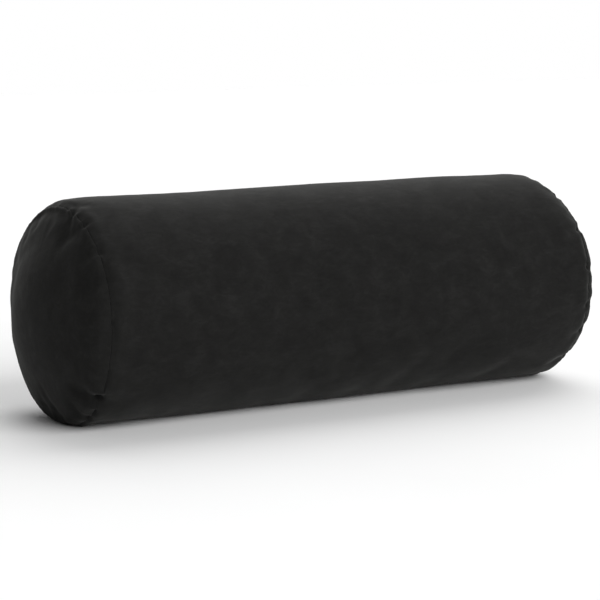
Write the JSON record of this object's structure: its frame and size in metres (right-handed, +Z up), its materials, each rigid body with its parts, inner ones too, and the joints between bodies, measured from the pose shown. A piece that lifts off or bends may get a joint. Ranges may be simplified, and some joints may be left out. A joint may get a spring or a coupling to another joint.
{
  "type": "round massage bolster pillow",
  "caption": "Round bolster for a massage table: foam core in wadding and a cloth liner, inside a zipped black microsuede cover with sewn-in end panels.",
  "frame": {"origin": "middle of the flattened strip that the bolster rests on", "axes": "+X along the bolster towards its right end, +Y to the back where the zip is, +Z up"},
  "size_m": [0.66, 0.2299, 0.226],
  "materials": {
    "cover_suede": "matte black brushed microsuede",
    "seam_thread": "black polyester thread, low sheen",
    "zip_tape": "black woven tape, matte",
    "zip_coil": "black nylon coil, satin",
    "zip_metal": "black enamel, worn to bare metal on the edges",
    "liner_cloth": "off-white spun-bonded cloth, matte",
    "liner_thread": "white thread",
    "wadding": "white polyester fibre wadding",
    "foam": "pale cream open-cell polyurethane foam"
  },
  "bodies": {
    "bolster": {"cover_body_panel": "cover_suede", "cover_end_panel_left": "cover_suede", "cover_end_panel_right": "cover_suede", "end_seam_thread_left": "seam_thread", "end_seam_overlock_left": "seam_thread", "back_seam_thread_left": "seam_thread", "zip_bartack_left": "seam_thread", "end_seam_thread_right": "seam_thread", "end_seam_overlock_right": "seam_thread", "back_seam_thread_right": "seam_thread", "zip_bartack_right": "seam_thread", "zip_tape_upper": "zip_tape", "zip_coil_upper": "zip_coil", "coil_sewing_thread_upper": "seam_thread", "zip_topstitch_upper": "seam_thread", "zip_top_stop_upper": "zip_metal", "zip_tape_lower": "zip_tape", "zip_coil_lower": "zip_coil", "coil_sewing_thread_lower": "seam_thread", "zip_topstitch_lower": "seam_thread", "zip_top_stop_lower": "zip_metal", "zip_bottom_stop": "zip_metal", "liner_tube": "liner_cloth", "liner_end_left": "liner_cloth", "liner_seam_thread_left": "liner_thread", "liner_end_right": "liner_cloth", "liner_seam_thread_right": "liner_thread", "liner_closing_thread": "liner_thread", "wadding_wrap": "wadding", "wadding_pad_left": "wadding", "wadding_pad_right": "wadding", "foam_core": "foam"},
    "zip_slider": {"zip_slider_body": "zip_metal", "zip_slider_crown": "zip_metal"},
    "lock_pawl": {"zip_slider_pawl": "zip_metal"},
    "zip_pull": {"zip_pull_tab": "zip_metal"}
  },
  "joints": [
    {"name": "zip_slide", "type": "slide", "parent": "bolster", "child": "zip_slider", "axis": [1, 0, 0], "range_m": [0, 0.4465], "deforming": ["zip_coil_upper", "zip_coil_lower"]},
    {"name": "pull_swing", "type": "hinge", "parent": "zip_slider", "child": "zip_pull", "pos_m": [-0.2238, 0.11016, 0.07521], "axis": [0, 0.309, 0.9511], "range_deg": [0, 170]},
    {"name": "pawl_lift", "type": "hinge", "parent": "zip_slider", "child": "lock_pawl", "pos_m": [-0.2266, 0.10974, 0.07534], "axis": [0, 0.309, 0.9511], "range_deg": [0, 4]}
  ],
  "couplings": [
    {"joint": "pawl_lift", "follows": "pull_swing", "ratio": 0.0235}
  ]
}
